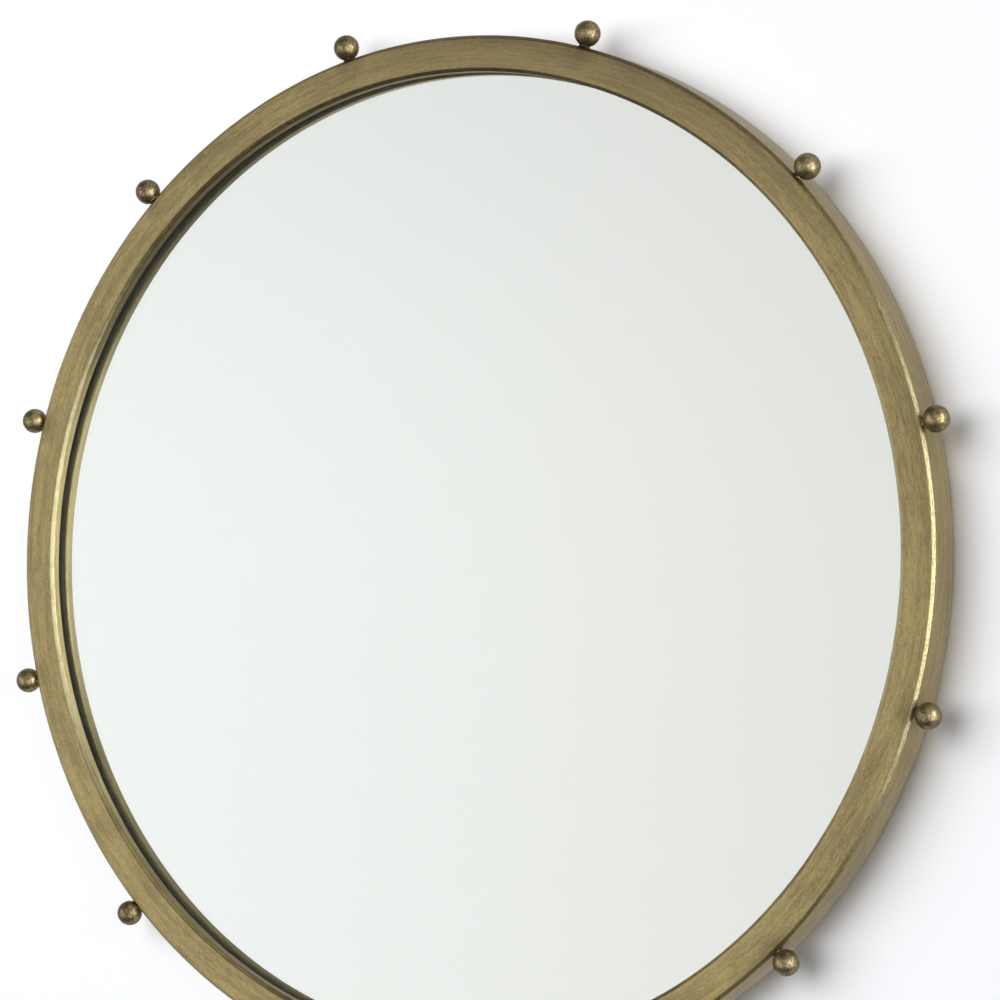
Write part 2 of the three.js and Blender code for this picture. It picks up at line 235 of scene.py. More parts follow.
# %% World
AMBIENT = (0.062, 0.071, 0.096, 1)
ROOM_DULL = (0.36, 0.355, 0.345, 1)
ROOM_DARK = (0.05, 0.048, 0.046, 1)
ROOM_SCREEN = (1.13, 1.11, 1.04, 1)
ROOM_UPPER = (0.62, 0.60, 0.56, 1)
ROOM_WINDOW = (2.10, 2.12, 2.08, 1)
LIP_WINDOW = (2.90, 2.85, 2.70, 1)
ROOM_BEHIND = (0.80, 0.80, 0.80, 1)
CEILING_PATCH = (-14, 140, 18, 88, 18)
SCREEN_PATCH = (-72, -4, -20, 34, 10, 0.5)
WINDOW_PATCH = (16, 84, -36, 25, 14)
LIP_WINDOW_PATCH = (4, 84, -24, 36, 14)
PANE_LEFT = (1.06, 1.045, 1.05, 1)
PANE_RIGHT = (0.865, 0.825, 0.815, 1)
PANE_TOP = (0.80, 0.785, 0.785, 1)
PANE_FLOOR = (0.36, 0.35, 0.33, 1)
WHITE = (1, 1, 1, 1)

world = bpy.data.worlds.new("studio")
world.use_nodes = True
scene.world = world
sky = Nodes(world.node_tree)
toward = sky.add("ShaderNodeTexCoord", output="Generated")
to_right = sky.part(toward, "X")
to_back = sky.part(toward, "Y")
to_top = sky.part(toward, "Z")
azimuth = to_right.math("ARCTAN2", to_back * -1).math("DEGREES")
elevation = to_top.math("ARCSINE").math("DEGREES")


def patch(left, right, low, high, soft, slope=0):
    """1 inside a rectangle of azimuth and elevation, in degrees; slope lowers its right side."""
    sides = sky.smooth(azimuth, left, left + soft) * sky.smooth(azimuth, right, right - soft)
    level = elevation + slope * (azimuth - left)
    return sides * sky.smooth(level, low, low + soft) * sky.smooth(level, high, high - soft)


def ray_is(kind):
    return sky.add("ShaderNodeLightPath", output="Is %s Ray" % kind)


room = sky.blend(sky.smooth(elevation.math("ABSOLUTE"), 16, 42), ROOM_DULL, ROOM_DARK)
room = sky.blend(patch(*CEILING_PATCH), room, ROOM_UPPER)
room = sky.blend(patch(*SCREEN_PATCH), room, ROOM_SCREEN)
room = sky.blend(patch(*WINDOW_PATCH), room, ROOM_WINDOW)
from_behind = sky.smooth(to_back, 0.0, 0.25)
room = sky.blend(from_behind, room, ROOM_BEHIND)
pane_view = sky.blend(sky.smooth(to_right, -0.62, -0.30), PANE_LEFT, PANE_RIGHT)
pane_view = sky.blend(sky.smooth(to_top, 0.0, 0.32), pane_view, PANE_TOP)
pane_view = sky.blend(sky.smooth(to_top, -0.18, -0.60), pane_view, PANE_FLOOR)
metal_met = sky.add("ShaderNodeLightPath", output="Glossy Depth")
from_lip = patch(*LIP_WINDOW_PATCH) * sky.smooth(metal_met, 1.2, 1.8)
pane_view = sky.blend(from_lip, pane_view, LIP_WINDOW)
lit = sky.blend(from_behind, AMBIENT, ROOM_BEHIND)
lit = sky.blend(ray_is("Glossy"), lit, room)
lit = sky.blend(ray_is("Transmission"), lit, pane_view)
lit = sky.blend(ray_is("Camera"), lit, WHITE)
background = sky.add("ShaderNodeBackground", sockets={"Color": lit, "Strength": 1})
sky.add("ShaderNodeOutputWorld", sockets={"Surface": background})

# %% [markdown]
# The shadow falls to the right and a little down and is soft, so the main light is broad and stands to
# the left and higher than the mirror. A sun lamp would do too. A far, large lamp is as even, and keeps
# the wall as white at the left as at the right. A narrow upright light at the far right draws the
# bright line along the outer corner and the spark on each ball. A weak light from the right softens
# the shadow, and one behind the wall shows the back.
#
# Each lamp has six numbers: degrees right of straight in front, degrees up, distance, width, height,
# and radiance, from which its power follows.

# %% Lamps
KEY = (-31, 13, 12.0, 15.4, 11.0, 4.25)
STRIP = (77, 4, 1.8, 0.34, 1.7, 8.5)
FILL = (50, 5, 5.0, 2.5, 2.5, 1.0)
BACK = (205, 35, 2.5, 1.2, 1.2, 3.0)


def softbox(name, degrees_right, degrees_up, distance, width, height, radiance):
    """A rectangular lamp aimed at the mirror's centre."""
    a = math.radians(degrees_right)
    e = math.radians(degrees_up)
    way = Vector((math.sin(a) * math.cos(e), -math.cos(a) * math.cos(e), math.sin(e)))
    lamp = bpy.data.lights.new(name, "AREA")
    lamp.shape = "RECTANGLE"
    lamp.size = width
    lamp.size_y = height
    lamp.energy = radiance * math.pi * width * height
    holder = bpy.data.objects.new(name, lamp)
    holder.location = way * distance
    holder.rotation_mode = "QUATERNION"
    holder.rotation_quaternion = way.to_track_quat("Z", "Y")
    holder.visible_camera = False
    scene.collection.objects.link(holder)
    print("%s: %.0f W" % (name, lamp.energy))
    return holder


key_light = softbox("key_light", *KEY)
key_light.visible_glossy = False
strip_light = softbox("strip_light", *STRIP)
strip_light.visible_diffuse = False
fill_light = softbox("fill_light", *FILL)
fill_light.visible_glossy = False
back_light = softbox("back_light", *BACK)
for lamp in (key_light, fill_light, back_light):
    lamp.visible_transmission = False

# %% [markdown]
# The wall is one flat sheet at y = 0. It has a round hole that the mirror covers, and it is clear from
# behind, so that the back of the mirror can be looked at and gets light. A plain plane would do for
# the front view alone. In the metal the wall looks more even than it is, as in the photograph, where
# the band shows no shadow of its own.

# %% Wall
WALL_REACH = 12
WALL_HOLE = 0.360
WALL_STEPS = 96
WALL_WHITE = (0.93, 0.93, 0.935, 1)
WALL_EVEN = (0.70, 0.685, 0.655, 1)
EVEN_SHARE = 0.75

sheet = bmesh.new()
for radius in (WALL_HOLE, WALL_REACH):
    bmesh.ops.create_circle(sheet, segments=WALL_STEPS, radius=radius)
bmesh.ops.bridge_loops(sheet, edges=sheet.edges[:])
bmesh.ops.transform(sheet, matrix=turned(90, "X"), verts=sheet.verts[:])
for face in sheet.faces:
    if face.normal.y > 0:
        face.normal_flip()
wall_mesh = bpy.data.meshes.new("wall")
sheet.to_mesh(wall_mesh)
sheet.free()
wall = bpy.data.objects.new("wall", wall_mesh)
scene.collection.objects.link(wall)

paint = bpy.data.materials.new("wall_paint")
paint.use_nodes = True
coat = Nodes(paint.node_tree)
matt = coat.add("ShaderNodeBsdfDiffuse", sockets={"Color": WALL_WHITE})
even = coat.add("ShaderNodeEmission", sockets={"Color": WALL_EVEN, "Strength": 1})
in_metal = coat.add("ShaderNodeLightPath", output="Is Glossy Ray") * EVEN_SHARE
shown = coat.add("ShaderNodeMixShader", sockets={0: in_metal, 1: matt, 2: even})
clear = coat.add("ShaderNodeBsdfTransparent")
behind = coat.add("ShaderNodeNewGeometry", output="Backfacing")
shown = coat.add("ShaderNodeMixShader", sockets={0: behind, 1: shown, 2: clear})
coat.add("ShaderNodeOutputMaterial", sockets={"Surface": shown})
wall_mesh.materials.append(paint)
scene.view_settings.view_transform = "Standard"
print("wall faces:", len(wall_mesh.polygons))

# %% [markdown]
# ## Making a piece
#
# Every finish starts as an empty material with the place on the piece, and ends as one Principled
# shader, so each function below holds only what is special to its surface.
#
# Every new piece ends the same way too: its mesh becomes an object at the origin, its faces are smooth apart
# from the sharp edges, it rides on a body, takes the finish it is given, and hides the nodes of the imported
# model that it stands for.

# %% Start and end of a finish
def new_finish(name):
    material = bpy.data.materials.new(name)
    material.use_nodes = True
    nodes = Nodes(material.node_tree)
    return material, nodes, nodes.add("ShaderNodeTexCoord", output="Object")


def close_finish(material, nodes, sockets):
    shader = nodes.add("ShaderNodeBsdfPrincipled", sockets=sockets)
    nodes.add("ShaderNodeOutputMaterial", sockets={"Surface": shader})
    print("finish:", material.name)
    return material


# %% From a shape to a riding piece
SHARP_EDGE = 35


def make_piece(name, shape, finish, stands_for=(), body="mirror", sharp=SHARP_EDGE):
    mesh = bpy.data.meshes.new(name)
    shape.to_mesh(mesh)
    shape.free()
    mesh.shade_smooth()
    mesh.set_sharp_from_angle(angle=math.radians(sharp))
    mesh.materials.append(finish)
    piece = bpy.data.objects.new(name, mesh)
    scene.collection.objects.link(piece)
    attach(piece, body)
    if stands_for:
        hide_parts(*stands_for)
    print("%s: %d faces" % (name, len(mesh.polygons)))


# %% [markdown]
# Most of the mirror is turned or rolled, so most shapes start as an outline in the radius-depth plane
# that is spun about the Y axis. Cylinders cut from each other would need clean-up at every edge; an
# outline carries its rounds with it. `outline` joins the corners and rounds each with a vertex bevel.
# A corner is (radius, y, round).

# %% Outline and spin
ROUND_SEGMENTS = 6
TURNED_MERGE = 1e-7


def outline(corners, closed=True, segments=ROUND_SEGMENTS):
    shape = bmesh.new()
    points = [shape.verts.new((radius, y, 0)) for radius, y, _ in corners]
    ends = points[1:] + (points[:1] if closed else [])
    for start, end in zip(points, ends):
        shape.edges.new((start, end))
    for point, (_, _, rounding) in zip(points, corners):
        if rounding:
            bmesh.ops.bevel(
                shape, geom=[point], offset=rounding, offset_type="OFFSET",
                segments=segments, profile=0.5, affect="VERTICES", material=-1,
            )
    return shape


def spin_round(shape, steps):
    bmesh.ops.spin(
        shape, geom=shape.verts[:] + shape.edges[:], cent=(0, 0, 0), axis=(0, 1, 0),
        dvec=(0, 0, 0), angle=2 * math.pi, steps=steps, use_merge=True,
    )
    bmesh.ops.remove_doubles(shape, verts=shape.verts[:], dist=TURNED_MERGE)
    bmesh.ops.recalc_face_normals(shape, faces=shape.faces[:])
    return shape


# %% [markdown]
# ## Antique brass
#
# The ring is plated, darkened, then rubbed back with an abrasive pad that was pulled along it.
# Marks that run round a ring could be laid on an unwrapped strip, but the strip has a seam. A point's
# direction from the centre, together with its radius and depth, makes coordinates in which noise
# stretches along the ring, with no seam.

# %% Coordinates that run round the ring
DEPTH_WEIGHT = 1.37


def round_place(nodes, place, around, across):
    """Noise coordinates: about one lump per this many metres along the ring and across it."""
    flat = nodes.vector("MULTIPLY", place, (1, 0, 1))
    radius = nodes.vector("LENGTH", flat, output="Value")
    way = nodes.vector("NORMALIZE", flat)
    depth = nodes.part(place, "Y")
    along = nodes.add(
        "ShaderNodeVectorMath", {"operation": "SCALE"}, {0: way, "Scale": RING_RADIUS / around},
    )
    side = nodes.add("ShaderNodeCombineXYZ", sockets={"Y": (radius + DEPTH_WEIGHT * depth) / across})
    return nodes.vector("ADD", along, side)


# %% [markdown]
# The pad left hairlines a millimetre wide, longer and browner scratches, broad soft streaks, and
# patches of brown where the darkening stayed. Just right of the top, a whole stretch is browner.
# Beside some balls the heat of welding has left dark smudges. Each kind of mark is one noise of its
# own size, blended in turn, so that each can be made stronger or weaker alone.
#
# The pad bit hardest on the filed corners, the inner one most. They are paler at the ring's left and right,
# which is partly that wear and partly a painted highlight where the lamps catch them. Elsewhere a painted
# shade darkens the outer corner in the upper half, and a thin line beside the inner one. Small dark nicks
# break the outer corner.

# %% Antique brass of the ring
BRASS_GOLD = (0.435, 0.350, 0.162, 1)
BRASS_OLIVE = (0.298, 0.240, 0.116, 1)
BRASS_BROWN = (0.205, 0.155, 0.085, 1)
BRASS_DARK = (0.085, 0.062, 0.036, 1)
BRASS_WORN_AND_HIGHLIT = (0.520, 0.470, 0.280, 1)
BROWN_STRETCH = math.radians(80)
BROWN_WAY = (math.cos(BROWN_STRETCH), 0, math.sin(BROWN_STRETCH))
FACET_REACH = (2.1 * MM, 2.9 * MM)
HAIR_DEPTH = 0.10 * MM


def from_ball(nodes, place, radius, depth):
    """Distance from the foot of the nearest ball."""
    step = 2 * math.pi / BALL_COUNT
    angle = nodes.part(place, "Z").math("ARCTAN2", nodes.part(place, "X")) + 4 * math.pi
    fold = (angle.math("MODULO", step) - step / 2).math("ABSOLUTE")
    return ((fold * RING_RADIUS) ** 2 + (radius - RING_RADIUS) ** 2 + (depth - BALL_Y) ** 2) ** 0.5


def corner_wear_and_painted_light(nodes, place, way, radius, depth, hairs, colour):
    """The colour with both filed corners worn, painted highlight and shade on them, and 1 in the outer one's
    nicks.
    """
    from_outer = ((radius - RING_RADIUS) ** 2 + (depth - FRONT_Y) ** 2) ** 0.5
    from_inner = ((radius - LIP_RADIUS) ** 2 + (depth - FRONT_Y) ** 2) ** 0.5
    outer = 1 - nodes.smooth(from_outer, *FACET_REACH)
    inner = 1 - nodes.smooth(from_inner, *FACET_REACH)
    sideways = nodes.part(way, "X").math("ABSOLUTE")
    # Wear, and a painted highlight: the corners are paler only at the left and right, where the lamps catch
    # them.
    worn_and_highlit = nodes.smooth(sideways, 0.80, 0.95) * (0.55 + 0.45 * nodes.smooth(hairs, 0.40, 0.60))
    colour = nodes.blend(inner * worn_and_highlit, colour, BRASS_WORN_AND_HIGHLIT)
    colour = nodes.blend(outer * worn_and_highlit * 0.35, colour, BRASS_WORN_AND_HIGHLIT)
    # Painted shade: a dark line along the outer corner in the upper half, not at the sides.
    upper = nodes.smooth(nodes.part(way, "Z"), -0.3, 0.2) * (1 - nodes.smooth(sideways, 0.78, 0.92))
    painted_corner_shade = (1 - nodes.smooth(from_outer, 1.2 * MM, 2.6 * MM)) * upper
    colour = nodes.blend(painted_corner_shade * 0.65, colour, BRASS_DARK)
    # Painted shade: a thin dark line beside the inner corner, not at the sides.
    painted_crease_shade = nodes.smooth(from_inner, 1.6 * MM, 2.2 * MM) * inner
    colour = nodes.blend(painted_crease_shade * (1 - nodes.smooth(sideways, 0.86, 0.96)) * 0.6, colour, BRASS_DARK)
    chips = nodes.grain(round_place(nodes, place, 2.4 * MM, 0.8 * MM), 1, 2, 0.6)
    nicks = outer * nodes.smooth(chips, 0.52, 0.62)
    return nodes.blend(nicks * 0.7, colour, BRASS_DARK), nicks


def antique_brass():
    material, nodes, place = new_finish("antique_brass")
    hairs = nodes.grain(round_place(nodes, place, 8 * MM, 1.0 * MM), 1, 2, 0.65)
    scratches = nodes.grain(round_place(nodes, place, 30 * MM, 1.6 * MM), 1, 2, 0.5)
    streaks = nodes.grain(round_place(nodes, place, 70 * MM, 4 * MM), 1, 2)
    broad = nodes.grain(round_place(nodes, place, 120 * MM, 10 * MM), 1, 3, 0.6, 0.4)
    clouds = nodes.grain(place, 0.055, 4, 0.55, 0.6)
    mottle = nodes.grain(place, 0.0032, 3, 0.6)
    specks = nodes.grain(place, 0.0012, 2, 0.6)

    flat = nodes.vector("MULTIPLY", place, (1, 0, 1))
    radius = nodes.vector("LENGTH", flat, output="Value")
    way = nodes.vector("NORMALIZE", flat)
    depth = nodes.part(place, "Y")
    far = from_ball(nodes, place, radius, depth)
    heat = (1 - nodes.smooth(far + 12 * MM * mottle, 8 * MM, 26 * MM)) * nodes.smooth(clouds, 0.42, 0.60)

    tone = nodes.smooth(0.26 * clouds + 0.26 * streaks + 0.32 * hairs + 0.24 * scratches, 0.47, 0.59)
    colour = nodes.blend(tone, BRASS_OLIVE, BRASS_GOLD)
    brown = nodes.smooth(broad, 0.54, 0.74)
    colour = nodes.blend(brown * nodes.smooth(mottle, 0.38, 0.62) * 0.8, colour, BRASS_BROWN)
    colour = nodes.blend(nodes.smooth(scratches, 0.58, 0.70) * 0.65, colour, BRASS_BROWN)
    colour = nodes.blend(nodes.smooth(mottle * hairs, 0.36, 0.44) * 0.5, colour, BRASS_DARK)
    colour = nodes.blend(heat * 0.6, colour, BRASS_DARK)
    colour = nodes.blend(nodes.smooth(specks, 0.44, 0.64) * 0.35, colour, BRASS_BROWN)
    to_brown = nodes.vector("DOT_PRODUCT", way, BROWN_WAY, output="Value")
    stretch = nodes.smooth(to_brown + 0.10 * clouds, 0.85, 1.04)
    colour = nodes.blend(stretch * 0.40, colour, BRASS_BROWN)
    colour, nicks = corner_wear_and_painted_light(nodes, place, way, radius, depth, hairs, colour)

    height = 0.5 * hairs + 0.3 * scratches + 0.2 * streaks - 0.6 * nicks
    return close_finish(material, nodes, {
        "Base Color": colour, "Metallic": 0.88, "Roughness": 0.31 + 0.14 * hairs + 0.08 * brown,
        "Normal": nodes.relief(height, 0.45, HAIR_DEPTH),
    })


brass = antique_brass()

# %% [markdown]
# ## The ring
#
# One sheet, folded into a channel and rolled: band, front face, lip, and a ledge behind the lip for
# the pane. The two front corners are broken by hand with a file: a narrow slanting facet with soft
# edges, which isn't quite even in width. A spun outline gives the true circle; afterwards noise moves
# its points by a tenth of a millimetre or two, most at the corners. A bevel modifier would give
# corners that are even all the way round, as no hand-filed corner is.

# %% Channel ring
RING_STEPS = 480
RING_SHARP = 50
BEND_ROUND = 0.4 * MM
CUT_ROUND = 0.3 * MM
LIP_FILED = 2.1 * MM
EDGE_FILED = 2.2 * MM
FILED_ROUND = 0.5 * MM
LEDGE_ROUND = 1.7 * MM
WAVE = 0.10 * MM
WAVE_LENGTH = 0.16
CORNER_WAVE = 0.22 * MM
CORNER_WAVE_LENGTH = 0.022
CORNER_REACH = 5 * MM
OTHER_NOISE = Vector((7, 7, 7))

channel = outline([
    (RING_RADIUS, RIM_Y, CUT_ROUND),
    (BAND_INSIDE, RIM_Y, CUT_ROUND),
    (BAND_INSIDE, FRONT_Y + SHEET, BEND_ROUND),
    (LIP_RADIUS + SHEET, FRONT_Y + SHEET, BEND_ROUND),
    (LIP_RADIUS + SHEET, LEDGE_Y - SHEET, BEND_ROUND),
    (LIP_RADIUS + LEDGE_WIDTH, LEDGE_Y - SHEET, CUT_ROUND),
    (LIP_RADIUS + LEDGE_WIDTH, LEDGE_Y, CUT_ROUND),
    (LIP_RADIUS, LEDGE_Y, LEDGE_ROUND),
    (LIP_RADIUS, FRONT_Y + LIP_FILED, FILED_ROUND),
    (LIP_RADIUS + LIP_FILED, FRONT_Y, FILED_ROUND),
    (RING_RADIUS - EDGE_FILED, FRONT_Y, FILED_ROUND),
    (RING_RADIUS, FRONT_Y + EDGE_FILED, FILED_ROUND),
])
spin_round(channel, RING_STEPS)


def hand_work(shape):
    """Moves the points a little, as rolling and filing do."""
    corners = [Vector((LIP_RADIUS, FRONT_Y)), Vector((RING_RADIUS, FRONT_Y))]
    for vert in shape.verts:
        out = Vector((vert.co.x, 0, vert.co.z)).normalized()
        spot = Vector((Vector((vert.co.x, vert.co.z)).length, vert.co.y))
        slow = noise.noise(vert.co / WAVE_LENGTH)
        near = max(0, 1 - min((spot - corner).length for corner in corners) / CORNER_REACH)
        quick = noise.noise(vert.co / CORNER_WAVE_LENGTH) - 0.5
        vert.co += out * (WAVE * slow)
        vert.co.y -= WAVE * noise.noise(vert.co / WAVE_LENGTH + OTHER_NOISE) * 0.5
        side = 1 if spot.x > (LIP_RADIUS + RING_RADIUS) / 2 else -1
        vert.co += (out * side - Vector((0, 1, 0))) * (CORNER_WAVE * near ** 2 * quick * 0.7)


hand_work(channel)
make_piece("ring_channel", channel, brass, ["frame_channel"], sharp=RING_SHARP)

# %% [markdown]
# ## Ball finials
#
# Each ball is a solid steel ball, welded to the band by a small bead, then plated with the ring. The
# darkening bites deeper on the balls, so they are a mottled brown with gold showing through. They are also
# darker towards their outline as the camera sees it, which is painted shade. Noise of three sizes mixes the
# two colours, rather than the ring's long marks, because the pad slips off a ball in every direction.

# %% Finish of the balls
BALL_GOLD = (0.460, 0.374, 0.192, 1)
BALL_BROWN = (0.205, 0.160, 0.088, 1)
BALL_BLACK = (0.060, 0.044, 0.028, 1)


def aged_ball():
    material, nodes, place = new_finish("aged_ball")
    mottle = nodes.grain(place, 0.0019, 3, 0.7, 0.3)
    pits = nodes.grain(place, 0.0009, 2, 0.6)
    cloud = nodes.grain(place, 0.008, 2)
    gold = nodes.smooth(0.6 * mottle + 0.4 * cloud, 0.40, 0.60)
    colour = nodes.blend(gold, BALL_BROWN, BALL_GOLD)
    colour = nodes.blend(nodes.smooth(pits, 0.51, 0.68) * 0.8, colour, BALL_BLACK)
    # Painted shade: darker towards the outline, by the angle to the camera.
    painted_rim_shade = nodes.add("ShaderNodeLayerWeight", sockets={"Blend": 0.5}, output="Facing")
    colour = nodes.blend(nodes.smooth(painted_rim_shade, 0.12, 0.75) * 0.6, colour, BALL_BLACK)
    height = 0.5 * mottle + 0.5 * pits
    bump = nodes.relief(height, 0.45, HAIR_DEPTH)
    return close_finish(material, nodes, {
        "Base Color": colour, "Metallic": 0.92, "Roughness": 0.44 - 0.10 * gold, "Normal": bump,
    })


aged = aged_ball()

# %% [markdown]
# The welds were plated with the ring, but scale in their hollows kept the dark. So they are the gold
# of the ring under dark blotches. Fine noise is their relief, on top of the lumps that their shapes
# have, because lumps alone would look like polished wax.

# %% Finish of the welds
def weld_metal():
    material, nodes, place = new_finish("weld_metal")
    ripple = nodes.grain(place, 0.0012, 2, 0.5)
    dark = nodes.smooth(nodes.grain(place, 0.003, 3, 0.6), 0.38, 0.54)
    colour = nodes.blend(dark, BRASS_GOLD, BRASS_DARK)
    bump = nodes.relief(ripple, 0.5, 0.0002)
    return close_finish(material, nodes, {
        "Base Color": colour, "Metallic": 1.0, "Roughness": 0.26 + 0.2 * dark, "Normal": bump,
    })


weld = weld_metal()

# %% [markdown]
# A ball is a half circle spun round the spoke that it stands on, so that its poles lie at the weld and
# at the crown; a ready-made sphere would do if it were turned. Noise takes it a hair out of round.
# The bead is a lumpy ring between the ball and the band: a small circle is spun round the same spoke,
# and noise swells it here and there.

# %% Balls and their beads
BALL_SEGMENTS = 48
BALL_HALF_STEPS = 24
BALL_UNEVEN = 0.05 * MM
BALL_LUMP = 6 * MM
BEAD_CIRCLE = 3.0 * MM
BEAD_RADIUS = 0.9 * MM
BEAD_SIDES = 10
BEAD_STEPS = 28
BEAD_SWELL = 0.9 * MM
BEAD_LUMP = 2.8 * MM
BEAD_OUT = 0.5 * MM
BEAD_SEED = 20
SEED_STEPS = (3.1, 1.7, 2.3)
WELD_SHARP = 80
MERGE = 1e-6


def uneven(shape, amount, length, seed):
    """Moves each point along its normal by noise."""
    shape.normal_update()
    shift = Vector([seed * step for step in SEED_STEPS])
    moves = [vert.normal * (amount * noise.noise(vert.co / length + shift)) for vert in shape.verts]
    for vert, move in zip(shape.verts, moves):
        vert.co += move


def spoke(angle, radius, y):
    """Carries a shape made round the origin, with +X outwards, to its place on the ring."""
    return turned(-angle, "Y") @ Matrix.Translation((radius, y, 0))


def ball_shape(seed):
    shape = bmesh.new()
    pole = shape.verts.new((BALL_RADIUS, 0, 0))
    bmesh.ops.spin(
        shape, geom=[pole], cent=(0, 0, 0), axis=(0, 0, 1), dvec=(0, 0, 0),
        angle=math.pi, steps=BALL_HALF_STEPS,
    )
    bmesh.ops.spin(
        shape, geom=shape.verts[:] + shape.edges[:], cent=(0, 0, 0), axis=(1, 0, 0), dvec=(0, 0, 0),
        angle=2 * math.pi, steps=BALL_SEGMENTS, use_merge=True,
    )
    bmesh.ops.remove_doubles(shape, verts=shape.verts[:], dist=MERGE)
    bmesh.ops.recalc_face_normals(shape, faces=shape.faces[:])
    uneven(shape, BALL_UNEVEN, BALL_LUMP, seed)
    return shape


def bead_shape(seed):
    shape = bmesh.new()
    bmesh.ops.create_circle(shape, segments=BEAD_SIDES, radius=BEAD_RADIUS)
    bmesh.ops.translate(shape, vec=(0, BEAD_CIRCLE, 0), verts=shape.verts[:])
    bmesh.ops.spin(
        shape, geom=shape.verts[:] + shape.edges[:], cent=(0, 0, 0), axis=(1, 0, 0), dvec=(0, 0, 0),
        angle=2 * math.pi, steps=BEAD_STEPS, use_merge=True,
    )
    bmesh.ops.remove_doubles(shape, verts=shape.verts[:], dist=MERGE)
    bmesh.ops.recalc_face_normals(shape, faces=shape.faces[:])
    uneven(shape, BEAD_SWELL, BEAD_LUMP, seed)
    return shape


for i in range(BALL_COUNT):
    number = "%02d" % (i + 1)
    angle = 90 - 360 / BALL_COUNT * (i + 0.5)
    ball = ball_shape(i)
    bmesh.ops.transform(ball, matrix=spoke(angle, BALL_CIRCLE, BALL_Y), verts=ball.verts[:])
    make_piece("ball_" + number, ball, aged, ["ball_finial_" + number])
    bead = bead_shape(i + BEAD_SEED)
    bmesh.ops.transform(bead, matrix=spoke(angle, RING_RADIUS + BEAD_OUT, BALL_Y), verts=bead.verts[:])
    make_piece("ball_weld_" + number, bead, weld, sharp=WELD_SHARP)

# %% [markdown]
# ## The pane
#
# The mirror is 5 mm float glass with silver on its back, and the dark strip beside the lip is that
# thickness seen aslant. A plain reflecting disc has no such strip, so the pane is two pieces: a clear
# slab with ground edges, and a thin silver film just behind it.

# %% Glass and silver
GLASS_ARRIS = 0.8 * MM
GLASS_SHARP = 20
PANE_STEPS = 240
SILVER_GAP = 0.02 * MM
SILVER_THICKNESS = 0.08 * MM
GLASS_GREEN = (0.965, 0.985, 0.972, 1)
SILVER_WHITE = (0.90, 0.915, 0.905, 1)
SILVER_EDGE = (0.25, 0.24, 0.22, 1)
SILVER_ROUND = 0.02 * MM


def clear_glass():
    material, nodes, place = new_finish("clear_glass")
    wave = nodes.grain(place, 0.12, 1)
    bump = nodes.relief(wave, 0.04, 0.0004)
    return close_finish(material, nodes, {
        "Base Color": GLASS_GREEN, "Roughness": 0.0, "IOR": 1.5, "Transmission Weight": 1.0, "Normal": bump,
    })


def silver_film():
    material, nodes, place = new_finish("silver_film")
    flat = nodes.vector("MULTIPLY", place, (1, 0, 1))
    radius = nodes.vector("LENGTH", flat, output="Value")
    cloud = nodes.grain(place, 0.010, 4, 0.65)
    rim = nodes.smooth(radius + 4 * MM * cloud, pane_high.x - 10 * MM, pane_high.x - 1 * MM)
    colour = nodes.blend(rim, SILVER_WHITE, SILVER_EDGE)
    return close_finish(material, nodes, {
        "Base Color": colour, "Metallic": 1.0, "Roughness": 0.02 + 0.25 * rim,
    })


def disc(radius, front, back, edge, segments=3):
    """A round plate between two depths, with its edges rounded or ground by this much."""
    shape = outline(
        [(0, front, 0), (radius, front, edge), (radius, back, edge), (0, back, 0)],
        closed=False, segments=segments,
    )
    return spin_round(shape, PANE_STEPS)


silver_front = pane_high.y - SILVER_THICKNESS
slab = disc(pane_high.x, pane_low.y, silver_front - SILVER_GAP, GLASS_ARRIS, segments=1)
make_piece("mirror_glass", slab, clear_glass(), ["mirror_pane"], sharp=GLASS_SHARP)
film = disc(pane_high.x - GLASS_ARRIS, silver_front, pane_high.y, SILVER_ROUND, segments=1)
make_piece("mirror_silver", film, silver_film(), ["mirror_pane"])

# %% [markdown]
# ## Tape, blocks and board
#
# The pane bears on a strip of closed-cell foam, and its weight stands on two rubber blocks. Both are
# matt, cellular and a little dusty, so one function makes both finishes. The blocks keep the packed
# model's own shape, because the channel hides them.

# %% Foam and rubber
FOAM_GREY = (0.24, 0.235, 0.21, 1)
RUBBER_BLACK = (0.016, 0.016, 0.017, 1)


def dusty(name, shade, size, depth, rough):
    """A matt finish with cells of this size and depth, and pale dust in patches."""
    material, nodes, place = new_finish(name)
    cells = nodes.grain(place, size, 2, 0.6)
    dust = nodes.smooth(nodes.grain(place, size * 14, 3, 0.6), 0.45, 0.75)
    grey = tuple(1.5 * value + 0.03 for value in shade[:3]) + (1,)
    colour = nodes.blend(dust * 0.35, shade, grey)
    bump = nodes.relief(cells, 0.5, depth)
    return close_finish(material, nodes, {
        "Base Color": colour, "Roughness": rough + 0.15 * dust, "Normal": bump,
    })


foam = dusty("foam_tape", FOAM_GREY, 0.6 * MM, 0.2 * MM, 0.80)
rubber = dusty("black_rubber", RUBBER_BLACK, 0.9 * MM, 0.08 * MM, 0.52)


def repaint(node, finish):
    """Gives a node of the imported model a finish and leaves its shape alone."""
    materials = frame["nodes"][node].data.materials
    materials.clear()
    materials.append(finish)


tape_low, tape_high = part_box("glazing_tape")
TAPE_WIDTH = 6 * MM
TAPE_ROUND = 0.12 * MM
tape = outline([
    (tape_high.x - TAPE_WIDTH, tape_low.y, TAPE_ROUND),
    (tape_high.x, tape_low.y, TAPE_ROUND),
    (tape_high.x, tape_high.y, TAPE_ROUND),
    (tape_high.x - TAPE_WIDTH, tape_high.y, TAPE_ROUND),
], segments=2)
make_piece("foam_tape_ring", spin_round(tape, PANE_STEPS), foam, ["glazing_tape"])
for number in (1, 2):
    repaint("setting_block_%02d" % number, rubber)

